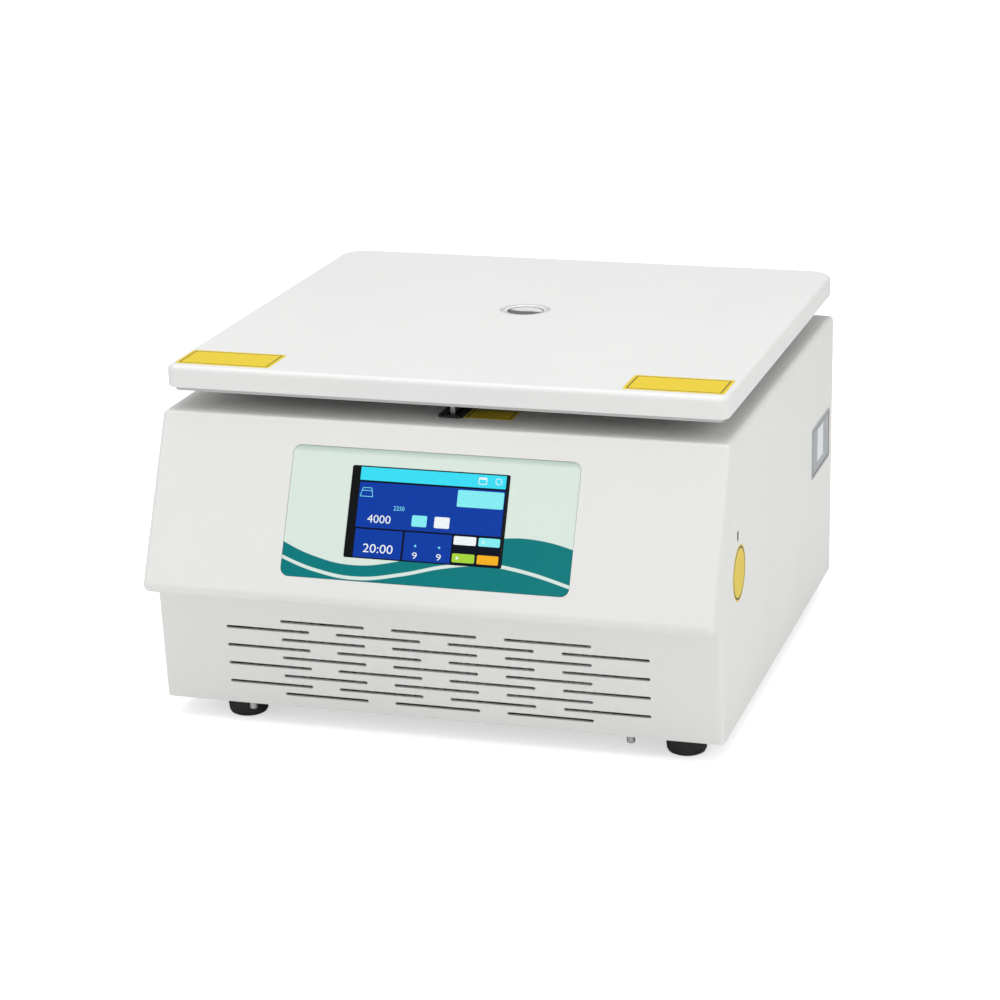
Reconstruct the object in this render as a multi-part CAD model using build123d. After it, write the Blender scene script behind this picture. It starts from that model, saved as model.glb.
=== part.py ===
from build123d import *
import math
import os

os.makedirs("parts", exist_ok=True)

# Rotor, chamber and spindle, in millimetres: the rotor sets the width and the depth
rotor_radius = 128.0
rotor_height = 80.0
rotor_top_radius = 85.5
rotor_split = 45.0
bore_radius = 15.0
bore_tilt = 35.0
bore_length = 83.0
bore_mouth = 62.0
places = 6
shaft_radius = 8.0
rotor_gap = 10.0
bowl_sheet = 1.0
bowl_flange = 14.0
coil_tube = 3.8
coil_turns = 5
foam_wall = 12.2
motor_top = 78.0
foam_floor = 23.0
rotor_lift = 9.0

# Outer sizes of the machine
foot_height = 16.0
body_height = 213.9
side_bay = 50.0
lid_gap = 16.9
lid_height = 16.3
lid_inset = 2.5
lid_overhang = 17.2
axis_y = 46.765

# Wall thicknesses and clearances
cover_wall = 3.0
sheet = 1.5
plate_sheet = 2.0
lid_wall = 2.5
rear_gap = 7.8
seat = 0.3
run = 0.05

# Display and fascia
overlay_width = 212.0
overlay_height = 94.5
overlay_sheet = 1.0
recess = 1.2
fascia_top_margin = 18.75
fascia_low_margin = 19.77
lean = 24.95
screen_width = 116.0
screen_height = 65.6
screen_x = -2.2
screen_rise = 2.2

# Lip, curved underside and lower panel of the front cover
lip_drop = 7.8
lip_depth = 29.6
panel_lean = 8.8
slot_length = 64.0
slot_height = 2.4
slot_pitch_x = 42.1
slot_columns = 7
slot_top_drop = 17.8
slot_foot_rise = 9.9

# Lid hinge, window and lock
hinge_inset = 90.0
hinge_rise = 8.0
hinge_setback = 7.7
knuckle = 6.0
pin_radius = 2.5
window_radius = 19.0
lens_radius = 13.3
bolt_radius = 4.0
bolt_window = 2.0
lock_setback = 22.9

# Cooling set and feet
comp_radius = 38.0
comp_gap = 3.0
foot_radius = 15.5
liner_drop = 3.0

bowl_radius = rotor_radius + rotor_gap
bowl_outer = bowl_radius + bowl_sheet
jacket_inner = bowl_outer + 2 * coil_tube + 1.2
insulation_radius = jacket_inner + foam_wall
half = insulation_radius + side_bay
width = 2 * half
lid_width = width - 2 * lid_inset
striker_y = axis_y - insulation_radius - lock_setback
seam_y = striker_y - 38.8
fascia_top_y = seam_y - 3.2
comp_x = half - comp_radius - 9.0
comp_reach = insulation_radius + comp_radius + comp_gap + 1.2
comp_y = axis_y + math.sqrt(comp_reach**2 - comp_x**2)
rear_y = max(comp_y + comp_radius + 10.2, axis_y + insulation_radius + rear_gap)
hinge_y = rear_y - hinge_setback
hinge_x = half - hinge_inset
lid_front_y = fascia_top_y + 1.3
lid_rear_y = rear_y + lid_overhang

base_z = foot_height
plate_top = base_z + plate_sheet
deck_z = base_z + body_height
lid_z = deck_z + lid_gap
lid_top = lid_z + lid_height
hinge_z = deck_z + hinge_rise
bowl_flange_top = deck_z + bowl_sheet
seal_top = bowl_flange_top + 5.1
motor_top_z = base_z + motor_top
insulation_floor = motor_top_z + 4.0
bowl_floor_z = insulation_floor + foam_floor
rotor_z = bowl_floor_z + rotor_lift

fascia_length = fascia_top_margin + overlay_height + fascia_low_margin
overlay_drop = fascia_top_margin + overlay_height / 2
screen_drop = overlay_drop - screen_rise
lip_y = fascia_top_y - fascia_length * math.sin(math.radians(lean))
lip_z = deck_z - fascia_length * math.cos(math.radians(lean))
under_y = lip_y + lip_depth
under_z = lip_z - lip_drop
panel_foot_y = under_y + panel_lean
slot_top_z = under_z - slot_top_drop
slot_foot_z = base_z + slot_foot_rise
slot_pitch_z = (slot_top_z - slot_foot_z) / 4
front_feet = [(54.6 - half, fascia_top_y + 7.0), (half - 32.1, fascia_top_y + 7.0)]
rear_feet = [(40.0 - half, rear_y - 36.2), (half - 40.0, rear_y - 36.2)]
fascia = Plane(
    origin=(0, fascia_top_y, deck_z),
    x_dir=(1, 0, 0),
    z_dir=(0, -math.cos(math.radians(lean)), math.sin(math.radians(lean))),
)


def save(name, shape):
    """Write one node of the machine."""
    export_step(shape, f"parts/{name}.step")
    box = shape.bounding_box()
    print(name, len(shape.solids()), [round(v, 1) for v in (*box.min, *box.max)])


def outline(points, radii):
    """Closed flat outline through the points, with each listed corner rounded."""
    face = make_face(Polyline(*points, close=True))
    for index, radius in radii.items():
        spot = Vector(*points[index], 0)
        corner = min(face.vertices(), key=lambda v: (Vector(v.X, v.Y, v.Z) - spot).length)
        face = fillet(corner, radius)
    return face


def block(x0, x1, y0, y1, z0, z1):
    """Box between two corners."""
    return Pos((x0 + x1) / 2, (y0 + y1) / 2, (z0 + z1) / 2) * Box(x1 - x0, y1 - y0, z1 - z0)


def disc(x, y, z0, z1, radius):
    """Upright cylinder from one height to another."""
    return Pos(x, y, (z0 + z1) / 2) * Cylinder(radius, z1 - z0)


def bar_x(x0, x1, y, z, radius):
    """Cylinder that lies along X."""
    return Pos((x0 + x1) / 2, y, z) * Rot(0, 90, 0) * Cylinder(radius, x1 - x0)


def bar_y(x, y0, y1, z, radius):
    """Cylinder that lies along Y."""
    return Pos(x, (y0 + y1) / 2, z) * Rot(90, 0, 0) * Cylinder(radius, y1 - y0)


def ring(z0, z1, inner, outer, x=0.0, y=axis_y):
    """Upright ring."""
    return disc(x, y, z0, z1, outer) - disc(x, y, z0 - 1, z1 + 1, inner)


def turned(points, x=0.0, y=axis_y):
    """Solid of revolution about an upright axis, from radius and height pairs."""
    return Pos(x, y, 0) * revolve(Plane.XZ * make_face(Polyline(*points, close=True)), Axis.Z)


def pan_screw(radius, length):
    """Pan-head screw along Z with its head above the origin and a cross recess."""
    head = Pos(0, 0, radius * 0.45) * Cylinder(radius * 1.9, radius * 0.9)
    head = chamfer(head.edges().group_by(Axis.Z)[-1], radius * 0.4)
    cross = Box(radius * 1.9, radius * 0.4, radius) + Box(radius * 0.4, radius * 1.9, radius)
    return head + Pos(0, 0, -length / 2) * Cylinder(radius, length) - Pos(0, 0, radius) * cross


def pipe(points, radius, bend):
    """Bent round tube drawn along its centre line."""
    path = FilletPolyline(*points, radius=bend)
    section = Plane(origin=path @ 0, z_dir=path % 0) * Circle(radius)
    return sweep(section, path=path)


# The front cover is one moulding: sloped fascia, lip, curved underside and slotted lower panel.


def cover_profile(rear, low):
    """Side profile of the front cover, back to one rear line and down to one level."""
    foot = panel_foot_y + (panel_foot_y - under_y) * (base_z - low) / (under_z - base_z)
    return outline(
        [
            (rear, deck_z),
            (fascia_top_y, deck_z),
            (lip_y, lip_z),
            (under_y, under_z),
            (foot, low),
            (rear, low),
        ],
        {1: 3.0, 2: 6.0, 3: 8.0},
    )


cover_outline = cover_profile(seam_y, base_z)
cover = extrude(Plane.YZ * cover_outline, amount=half, both=True)
rim = [
    e
    for e in cover.edges()
    if abs(abs(e.center().X) - half) < 0.01
    and e.center().Y < seam_y - 0.1
    and e.center().Z > base_z + 0.1
]
cover = fillet(rim, 4.0)
inside = offset(cover_profile(seam_y + 20, base_z - 20), amount=-cover_wall)
cover -= extrude(Plane.YZ * inside, amount=half - cover_wall, both=True)
cover -= extrude(
    fascia * Pos(0, -overlay_drop)
    * RectangleRounded(overlay_width + 2 * seat, overlay_height + 2 * seat, 6.0 + seat),
    -recess,
)
cover -= extrude(
    fascia * Pos(screen_x, -screen_drop)
    * RectangleRounded(screen_width + 5, screen_height + 5, 2.0),
    -cover_wall - 1,
)
slot_span = (slot_columns - 1) * slot_pitch_x
for column in range(slot_columns):
    rows = 4 if column % 2 == 0 else 5
    top = slot_top_z if rows == 5 else slot_top_z - slot_pitch_z / 2
    for row in range(rows):
        spot = Pos(column * slot_pitch_x - slot_span / 2, under_y - 10, top - row * slot_pitch_z)
        cover -= spot * extrude(Plane.XZ * SlotOverall(slot_length, slot_height), -30)
boss_x = overlay_width / 2 - 16.0
boss_rise = overlay_height / 2 - 9.25
boss_spots = [(x, -overlay_drop + y) for x in (-boss_x, boss_x) for y in (boss_rise, -boss_rise)]
for x, y in boss_spots:
    boss = extrude(fascia.offset(-cover_wall + 0.2) * Pos(x, y) * Circle(4.0), -11.0)
    cover += boss - extrude(fascia.offset(-cover_wall - 1) * Pos(x, y) * Circle(1.3), -12.0)
lip_web = cover_outline & Pos(under_y, lip_z - 1) * Rectangle(34, 16)
for x in (-0.72 * half, -0.24 * half, 0.24 * half, 0.72 * half):
    cover += extrude(Plane.YZ.offset(x) * lip_web, amount=1.0, both=True)
save("front_cover", cover)

overlay = extrude(
    fascia.offset(-recess) * Pos(0, -overlay_drop) * RectangleRounded(overlay_width, overlay_height, 6.0),
    overlay_sheet,
)
overlay -= extrude(
    fascia.offset(-recess - 1) * Pos(screen_x, -screen_drop)
    * RectangleRounded(screen_width + 2 * seat, screen_height + 2 * seat, 1.5),
    recess + 2,
)
save("display_overlay", overlay)

module = extrude(
    fascia.offset(-recess - 0.3) * Pos(screen_x, -screen_drop)
    * RectangleRounded(screen_width, screen_height, 1.2),
    overlay_sheet + 0.3,
)
module += extrude(
    fascia.offset(-9.0) * Pos(screen_x, -screen_drop)
    * RectangleRounded(screen_width + 3.5, screen_height + 3.5, 1.5),
    9.0 - recess - 0.3,
)
save("touch_display", module)

bracket_z = -cover_wall - 10.8
bracket = extrude(
    fascia.offset(bracket_z - sheet) * Pos(0, -overlay_drop)
    * RectangleRounded(2 * boss_x + 16, 2 * boss_rise + 14, 4),
    sheet,
)
bracket -= extrude(
    fascia.offset(bracket_z - 3) * Pos(0, -overlay_drop)
    * RectangleRounded(2 * boss_x - 30, 2 * boss_rise - 26, 4),
    5,
)
for x, y in boss_spots:
    bracket -= extrude(fascia.offset(bracket_z - 3) * Pos(x, y) * Circle(1.7), 5)
save("display_bracket", bracket)

board_z = bracket_z - sheet - 6.0
board_mid = Pos(0, -overlay_drop)
post_x, post_y = boss_x - 12.0, boss_rise - 2.0
board = extrude(fascia.offset(board_z) * board_mid * Rectangle(2 * post_x + 12, 2 * post_y + 12), 1.6)
for x, y, w, h, tall in (
    (-0.7 * post_x, 0.6 * post_y, 30, 12, 4.0),
    (-0.2 * post_x, 0.2 * post_y, 20, 20, 2.4),
    (0.4 * post_x, 0.4 * post_y, 12, 18, 3.0),
    (0.7 * post_x, -0.5 * post_y, 24, 10, 4.5),
    (-0.6 * post_x, -0.6 * post_y, 14, 14, 2.4),
):
    board += extrude(fascia.offset(board_z - tall) * board_mid * Pos(x, y) * Rectangle(w, h), tall)
for x in (-post_x, post_x):
    for y in (-post_y, post_y):
        board += extrude(fascia.offset(board_z + 1.6) * board_mid * Pos(x, y) * Circle(2.6), 4.4)
save("control_board", board)

display_screws = Compound(
    children=[
        fascia.offset(bracket_z - sheet) * Pos(x, y) * Rot(180, 0, 0) * pan_screw(1.25, 8.0)
        for x, y in boss_spots
    ]
)
save("display_screws", display_screws)

# Folded steel wrap: both sides and the top deck are one sheet.
wrap_outline = outline(
    [(-half, base_z), (half, base_z), (half, deck_z), (-half, deck_z)], {2: 4.0, 3: 4.0}
)
wrap_inner = outline(
    [
        (-half + sheet, base_z - 5),
        (half - sheet, base_z - 5),
        (half - sheet, deck_z - sheet),
        (-half + sheet, deck_z - sheet),
    ],
    {2: 2.5, 3: 2.5},
)
wrap_front = seam_y + seat
wrap_depth = rear_y - wrap_front
wrap = Pos(0, wrap_front, 0) * extrude(Plane.XZ * wrap_outline, -wrap_depth)
wrap -= Pos(0, wrap_front - 1, 0) * extrude(Plane.XZ * wrap_inner, -wrap_depth - 2)
wrap -= disc(0, axis_y, deck_z - 10, deck_z + 10, bowl_radius + bowl_sheet + 2)
lock_slot_x, lock_slot_y = 11.0, 26.0
wrap -= Pos(0, striker_y, deck_z) * Box(lock_slot_x, lock_slot_y, 10)
release_y, release_z = seam_y + 22.3, deck_z - 73.2
wrap -= Pos(half, release_y, release_z) * Box(10, 4.4, 7.4)
save("cabinet_wrap", wrap)

panel_x = half - sheet - seat
rear_inner = rear_y - sheet
panel_outline = outline(
    [
        (-panel_x, plate_top + seat),
        (panel_x, plate_top + seat),
        (panel_x, deck_z - sheet - seat),
        (-panel_x, deck_z - sheet - seat),
    ],
    {2: 3.0, 3: 3.0},
)
panel = Pos(0, rear_y, 0) * extrude(Plane.XZ * panel_outline, sheet)
inlet_x = 60.0 - half
switch_x = inlet_x + 46.0
fuse_x = switch_x + 34.0
inlet_z = switch_z = fuse_z = plate_top + 34.0
panel -= block(inlet_x - 14, inlet_x + 14, rear_inner - 1, rear_y + 1, inlet_z - 10.5, inlet_z + 10.5)
panel -= block(switch_x - 9.2, switch_x + 9.2, rear_inner - 1, rear_y + 1, switch_z - 13.2, switch_z + 13.2)
panel -= bar_y(fuse_x, rear_inner - 1, rear_y + 1, fuse_z, 6.4)
for column in range(4):
    for row in range(8):
        panel -= Pos(15 + column * 46, rear_y, plate_top + 22 + row * 9) * Box(38, 12, 4)
rear_screws = [(x, z) for z in (deck_z - 12, plate_top + 8) for x in (10.0 - half, 0.0, half - 10.0)]
for x, z in rear_screws:
    panel -= bar_y(x, rear_inner - 1, rear_y + 1, z, 2.1)
save("rear_panel", panel)

floor_front = panel_foot_y + cover_wall + 0.4
floor = block(-panel_x, panel_x, seam_y + 1.0, rear_inner - seat, base_z, plate_top)
floor += block(-half + cover_wall + 0.5, half - cover_wall - 0.5, floor_front, seam_y + 2, base_z, plate_top)
flange_top = plate_top + 14.2
for side in (-1, 1):
    edge = side * (panel_x - sheet / 2)
    floor += block(edge - sheet / 2, edge + sheet / 2, seam_y + 8, rear_inner - 10, base_z + 1, flange_top)
floor += block(15 - half, half - 15, rear_inner - seat - sheet, rear_inner - seat, base_z + 1, flange_top)
for x, z in rear_screws[3:]:
    floor -= bar_y(x, rear_inner - 4, rear_inner + 1, z, 2.1)
for x, y in front_feet + rear_feet:
    floor -= disc(x, y, base_z - 1, plate_top + 1, 2.6)
stud_y = panel_foot_y + 7.9
stud_spots = [(65.0 - half, stud_y), (half - 69.0, stud_y)]
for x, y in stud_spots:
    floor -= disc(x, y, base_z - 1, plate_top + 1, 2.1)
for row in range(6):
    spot = Pos(0, seam_y + 55 + row * 10, base_z - 1)
    floor -= spot * extrude(Plane.XY * SlotOverall(120, 4), 5)
save("base_plate", floor)

for name, (x, y) in zip(
    ("foot_front_left", "foot_front_right", "foot_rear_left", "foot_rear_right"), front_feet + rear_feet
):
    foot = turned(
        [
            (0, 0),
            (foot_radius - 4.0, 0),
            (foot_radius - 2.2, 1.0),
            (foot_radius - 1.2, 3.0),
            (foot_radius, foot_height - 3),
            (foot_radius, foot_height),
            (0, foot_height),
        ],
        x,
        y,
    )
    foot -= disc(x, y, 5.0, foot_height + 1, 2.6)
    foot -= disc(x, y, 4.99, 9.0, 5.4)
    save(name, foot)

foot_screws = Compound(
    children=[
        Pos(x, y, 9.0) * Rot(180, 0, 0) * pan_screw(2.5, 13.0) for x, y in front_feet + rear_feet
    ]
)
save("foot_screws", foot_screws)

stud = turned([(0, -7), (2.4, -7), (3.0, -6.2), (3.0, -2.4), (4.0, 0), (2.0, 0), (2.0, 5), (0, 5)], 0, 0)
base_studs = Compound(children=[Pos(x, y, base_z) * stud for x, y in stud_spots])
save("base_studs", base_studs)

case_screws = [Pos(x, rear_y, z) * Rot(-90, 0, 0) * pan_screw(2.0, 6.0) for x, z in rear_screws]
save("case_screws", Compound(children=case_screws))

plug = Pos(half - sheet - 1.5, release_y, release_z) * Box(3.0, 8.0, 11.0)
plug += Pos(half - sheet / 2, release_y, release_z) * Box(sheet, 4.0, 7.0)
plug -= Pos(half, release_y, release_z) * Box(16, 2.0, 4.6)
save("release_bush", plug)

# Lid: hollow shell, steel stiffener, dark liner and seal.
def lid_outline(inset, rear_radius, front_radius):
    """Outline of the lid, set in from its edge."""
    x = lid_width / 2 - inset
    return outline(
        [
            (-x, lid_front_y + inset),
            (x, lid_front_y + inset),
            (x, lid_rear_y - inset),
            (-x, lid_rear_y - inset),
        ],
        {0: front_radius, 1: front_radius, 2: rear_radius, 3: rear_radius},
    )


lid = Pos(0, 0, lid_z) * extrude(lid_outline(0, 20.0, 8.0), lid_height)
lid = fillet(lid.edges().group_by(Axis.Z)[-1], 4.0)
lid = fillet(lid.edges().group_by(Axis.Z)[0], 1.0)
lid -= Pos(0, 0, lid_z - 1) * extrude(lid_outline(lid_wall, 18.0, 6.0), lid_height - lid_wall + 1)
rib_z = lid_z + plate_sheet
for x in (-half / 3, half / 3):
    lid += block(x - 1, x + 1, lid_front_y + 2, lid_rear_y - 2, rib_z, lid_top - lid_wall + 0.2)
for y in (axis_y - 108.0, axis_y + 102.0):
    lid += block(-lid_width / 2 + 2, lid_width / 2 - 2, y - 1, y + 1, rib_z, lid_top - lid_wall + 0.2)
lid += ring(rib_z, lid_top - lid_wall + 0.2, window_radius + seat, window_radius + 3.0)
lid -= disc(0, axis_y, lid_z - 5, lid_top + 1, window_radius + seat)
save("lid_shell", lid)

stiff = Pos(0, 0, lid_z) * extrude(lid_outline(lid_wall + seat, 17.5, 5.5), plate_sheet)
stiff -= disc(0, axis_y, lid_z - 1, lid_z + 5, lens_radius + 3.2)
for x in (80.0 - half, half - 80.0):
    for y in (axis_y - 68.0, axis_y + 52.0):
        stiff -= Pos(x, y, lid_z) * extrude(RectangleRounded(70, 70, 12), 10, both=True)
save("lid_plate", stiff)

liner = Pos(0, 0, lid_z - liner_drop) * extrude(lid_outline(5.0, 15.0, 4.0), liner_drop)
liner -= block(-half, half, hinge_y - 9.5, lid_rear_y, lid_z - 10, lid_z + 5)
liner -= disc(0, axis_y, lid_z - 20, lid_z + 5, lens_radius + 3.2)
liner -= Pos(0, striker_y, lid_z) * Box(26, 26, 20)
save("lid_liner", liner)
save("lid_seal_ring", ring(seal_top, lid_z - liner_drop, bowl_radius - 6.0, bowl_outer + 15.0))
save("lid_seal", ring(bowl_flange_top, seal_top, bowl_outer + 0.4, bowl_outer + 11.0))

window_low = lid_z - liner_drop
bezel = turned(
    [
        (lens_radius + seat, window_low),
        (lens_radius + 2.8, window_low),
        (lens_radius + 2.8, lid_z + plate_sheet),
        (window_radius - 1.0, lid_z + plate_sheet),
        (window_radius, lid_z + plate_sheet + 1.0),
        (window_radius, lid_top - 0.6),
        (window_radius - 0.6, lid_top),
        (lens_radius + 2.6, lid_top),
        (lens_radius + 1.6, lid_top - 0.8),
        (lens_radius + seat, lid_top - 0.8),
        (lens_radius + seat, lid_top - 5.0),
        (lens_radius - 1.5, lid_top - 5.0),
        (lens_radius - 1.5, window_low + 5.0),
        (lens_radius + seat, window_low + 5.0),
    ]
)
save("window_bezel", bezel)
lenses = [disc(0, axis_y, z, z + 4.0, lens_radius) for z in (window_low + 1.0, lid_top - 5.0)]
save("window_lenses", Compound(children=lenses))

eye_z = deck_z - 15.0
eye_half = bolt_radius + bolt_window
striker_half = eye_half + 3.0
striker_low = eye_z - eye_half - 2.5
striker = block(-1.75, 1.75, striker_y - striker_half, striker_y + striker_half, striker_low, lid_z - 1.8)
striker = fillet(striker.edges().filter_by(Axis.X).group_by(Axis.Z)[0], 3.0)
striker += block(-11, 11, striker_y - 11, striker_y + 11, lid_z - plate_sheet, lid_z)
striker -= Pos(0, striker_y, eye_z) * Box(10, 2 * eye_half, 2 * eye_half)
save("lid_striker", striker)

label_depth = 39.0
label_inner, label_outer = half - 79.5, half - 7.0
label_y = fascia_top_y + 9.5
film = 0.15
label_shape = extrude(RectangleRounded(label_outer - label_inner, label_depth, 2.5), film)
label_x = (label_inner + label_outer) / 2
labels = [Pos(x, label_y + label_depth / 2, lid_top) * label_shape for x in (-label_x, label_x)]
save("lid_films", Compound(children=labels))

spot_y, spot_z = fascia_top_y + 30.6, deck_z - 101.9
save("side_film", bar_x(half, half + film, spot_y, spot_z, 20.5))
rating_y, rating_z = rear_y - 49.8, deck_z - 92.9
rating = Pos(half, rating_y, rating_z) * extrude(Plane.YZ * RectangleRounded(73.0, 41.0, 2.0), 0.5)
rating -= Pos(half + 0.3, rating_y, rating_z) * extrude(Plane.YZ * RectangleRounded(67.0, 35.0, 1.0), 1.0)
save("plate_blank", rating)

# Lid hinges.
half_leaf = 20.0
ear = 9.7
brackets, leaves, pins = [], [], []
for side in (-1, 1):
    x0 = side * hinge_x - half_leaf
    x1 = side * hinge_x + half_leaf
    fixed = block(x0, x1, hinge_y - 19, hinge_y + 6, deck_z, deck_z + 1.2)
    for a, b in ((x0, x0 + ear), (x1 - ear, x1)):
        fixed += bar_x(a, b, hinge_y, hinge_z, knuckle)
        fixed += block(a, b, hinge_y - knuckle, hinge_y + knuckle, deck_z, hinge_z)
    fixed -= bar_x(x0 - 1, x1 + 1, hinge_y, hinge_z, pin_radius + run)
    brackets.append(fixed)
    moving = block(x0, x1, hinge_y - 8, hinge_y + 16, lid_z - 2.0, lid_z)
    moving += bar_x(x0 + ear + seat, x1 - ear - seat, hinge_y, hinge_z, knuckle)
    moving += block(
        x0 + ear + seat, x1 - ear - seat, hinge_y - knuckle, hinge_y + knuckle, hinge_z, lid_z
    )
    moving -= bar_x(x0 - 1, x1 + 1, hinge_y, hinge_z, pin_radius + run)
    leaves.append(moving)
    pin = bar_x(x0, x1, hinge_y, hinge_z, pin_radius)
    pin += bar_x(x1, x1 + 1.5, hinge_y, hinge_z, pin_radius + 1.2)
    pin += bar_x(x0 - 1.5, x0, hinge_y, hinge_z, pin_radius + 1.2)
    pins.append(pin)
save("hinge_brackets", Compound(children=brackets))
save("hinge_leaves", Compound(children=leaves))
save("hinge_pins", Compound(children=pins))

# Lid lock under the deck, with its slot bezel on top.
slot_bezel = Pos(0, striker_y, deck_z) * extrude(RectangleRounded(18, 34, 3), 1.5)
slot_bezel += Pos(0, striker_y, deck_z - sheet) * extrude(RectangleRounded(10.4, 25.4, 2), sheet + 0.5)
slot_bezel -= Pos(0, striker_y, deck_z) * extrude(RectangleRounded(8.6, 23.6, 1.5), 10, both=True)
save("lock_bezel", slot_bezel)
under_deck = deck_z - sheet
frame_low = striker_low - 3.5
lock_frame = block(-20, 52, striker_y - 16, striker_y + 16, under_deck - 2, under_deck)
for x in (-13.0, 13.0):
    lock_frame += block(x - 1, x + 1, striker_y - 14, striker_y + 14, frame_low, under_deck - 1)
lock_frame -= Pos(0, striker_y, under_deck) * Box(12, 26, 10)
lock_frame -= bar_x(-20, 16, striker_y, eye_z, bolt_radius + run)
save("lock_frame", lock_frame)
actuator = block(18, 50, striker_y - 11, striker_y + 11, frame_low + 2, under_deck - 2)
actuator = fillet(actuator.edges().filter_by(Axis.X), 2.0)
actuator -= bar_x(17, 46, striker_y, eye_z, bolt_radius + 0.3)
save("lock_actuator", actuator)
lock_bolt = bar_x(6, 34, striker_y, eye_z, bolt_radius)
lock_bolt = chamfer(lock_bolt.edges().group_by(Axis.X)[0], 1.0)
save("lock_bolt", lock_bolt)

# Cooled chamber.
bowl_top = deck_z
bowl = turned(
    [
        (20, bowl_floor_z + 6),
        (21, bowl_floor_z + 6),
        (21, bowl_floor_z + bowl_sheet),
        (bowl_radius - 12, bowl_floor_z + bowl_sheet),
        (bowl_radius - 3.5, bowl_floor_z + 4.5),
        (bowl_radius, bowl_floor_z + 13),
        (bowl_radius, bowl_flange_top),
        (bowl_radius + bowl_flange, bowl_flange_top),
        (bowl_radius + bowl_flange, bowl_top),
        (bowl_outer, bowl_top),
        (bowl_outer, bowl_floor_z + 12.6),
        (bowl_outer - 3.8, bowl_floor_z + 3.8),
        (bowl_outer - 12.6, bowl_floor_z),
        (20, bowl_floor_z),
    ]
)
save("chamber_bowl", bowl)
jacket_top = under_deck - 0.2
jacket = ring(insulation_floor, jacket_top, jacket_inner, insulation_radius)
jacket += ring(insulation_floor, bowl_floor_z - 0.3, 24.0, insulation_radius - 1)
jacket -= disc(0, axis_y, bowl_floor_z - 0.3, jacket_top + 1, jacket_inner)
save("chamber_insulation", jacket)
coil_radius = bowl_outer + coil_tube + 0.4
coil_low = bowl_floor_z + 18.0
coil_pitch = (jacket_top - 12.0 - coil_low) / coil_turns
coil_section = RegularPolygon(coil_tube, 8)
coil = None
for turn in range(coil_turns):
    loop = revolve(Plane.XZ * Pos(coil_radius, coil_low + turn * coil_pitch) * coil_section, Axis.Z)
    coil = loop if coil is None else coil + loop
    if turn:
        step = turn * math.pi / 9
        spot = Pos(coil_radius * math.cos(step), coil_radius * math.sin(step), coil_low)
        coil += spot * Pos(0, 0, (turn - 0.5) * coil_pitch) * Box(4, 4, coil_pitch)
coil = Pos(0, axis_y, 0) * coil
save("evaporator_coil", coil)

# Drive motor on rubber mounts, and the spindle.
plate_z = plate_top + 18.0
damper_ring = 72.0
damper_spots = [
    (damper_ring * math.cos(math.radians(a)), axis_y + damper_ring * math.sin(math.radians(a)))
    for a in (45, 135, 225, 315)
]
damper_shape = [(0, 0), (9, 0), (9, 3), (6.5, 6), (6.5, 12), (9, 15), (9, 18), (0, 18)]
dampers = [turned([(r, plate_top + z) for r, z in damper_shape], x, y) for x, y in damper_spots]
motor_plate = Pos(0, axis_y, plate_z) * extrude(RectangleRounded(132, 132, 14), 4.0)
motor_plate -= disc(0, axis_y, plate_z - 1, plate_z + 6, 55.4)
save("motor_plate", motor_plate)
motor = turned(
    [
        (0, plate_top + 3),
        (50, plate_top + 3),
        (55, plate_top + 8),
        (55, plate_z + 4),
        (63, plate_z + 4),
        (63, plate_z + 9),
        (55, plate_z + 9),
        (55, motor_top_z - 10),
        (50, motor_top_z - 6),
        (26, motor_top_z - 6),
        (24, motor_top_z),
        (0, motor_top_z),
    ]
)
for angle in range(0, 360, 30):
    fin = Pos(0, axis_y, 0) * Rot(0, 0, angle) * block(54, 57.5, -2, 2, plate_z + 12, motor_top_z - 12)
    motor += fin
shaft_low = motor_top_z - 42.0
motor -= disc(0, axis_y, shaft_low - 2, motor_top_z + 1, shaft_radius + run)
save("motor_body", motor)
seat_z = rotor_z + 36.0
shaft_tip = rotor_z + rotor_height + 4.0
shaft = turned(
    [
        (0, shaft_low),
        (shaft_radius, shaft_low),
        (shaft_radius, seat_z),
        (6.0, seat_z + 16),
        (4.0, seat_z + 16),
        (4.0, shaft_tip - 1),
        (3.0, shaft_tip),
        (0, shaft_tip),
    ]
)
save("motor_shaft", shaft)

# Angle rotor with tilted pockets, undercut below and recessed on top, turned in a lower and an upper part.
recess_z = rotor_z + 60.0
rotor = turned(
    [
        (shaft_radius + run, rotor_z),
        (26, rotor_z),
        (26, rotor_z + 28),
        (58, rotor_z + 28),
        (80, rotor_z),
        (rotor_radius - 6, rotor_z),
        (rotor_radius, rotor_z + 6),
        (rotor_radius, rotor_z + 18),
        (rotor_top_radius, rotor_z + rotor_height - 1.5),
        (rotor_top_radius - 2, rotor_z + rotor_height),
        (34, rotor_z + rotor_height),
        (32, rotor_z + rotor_height - 2),
        (32, recess_z),
        (6.0 + run, recess_z),
        (6.0 + run, seat_z + 16),
        (shaft_radius + run, seat_z),
    ]
)
tilt = math.radians(bore_tilt)
rotor_top = rotor_z + rotor_height
for place in range(places):
    pocket = Pos(bore_mouth, 0, rotor_top) * Rot(0, -bore_tilt, 0) * Pos(0, 0, -bore_length / 2 + 15)
    pocket_body = pocket * Cylinder(bore_radius, bore_length + 30)
    rotor -= Pos(0, axis_y, 0) * Rot(0, 0, place * 360 / places) * pocket_body
split_z = rotor_z + rotor_split
save("rotor_base", rotor - disc(0, axis_y, split_z, rotor_top + 20, rotor_radius + 5))
save("rotor_head", rotor - disc(0, axis_y, rotor_z - 20, split_z, rotor_radius + 5))
knob = disc(0, axis_y, recess_z + 0.2, recess_z + 5, 26.0)
knob += disc(0, axis_y, recess_z + 4, rotor_top + 8, 17.0)
knob = chamfer(knob.edges().group_by(Axis.Z)[-1], 1.5)
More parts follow.
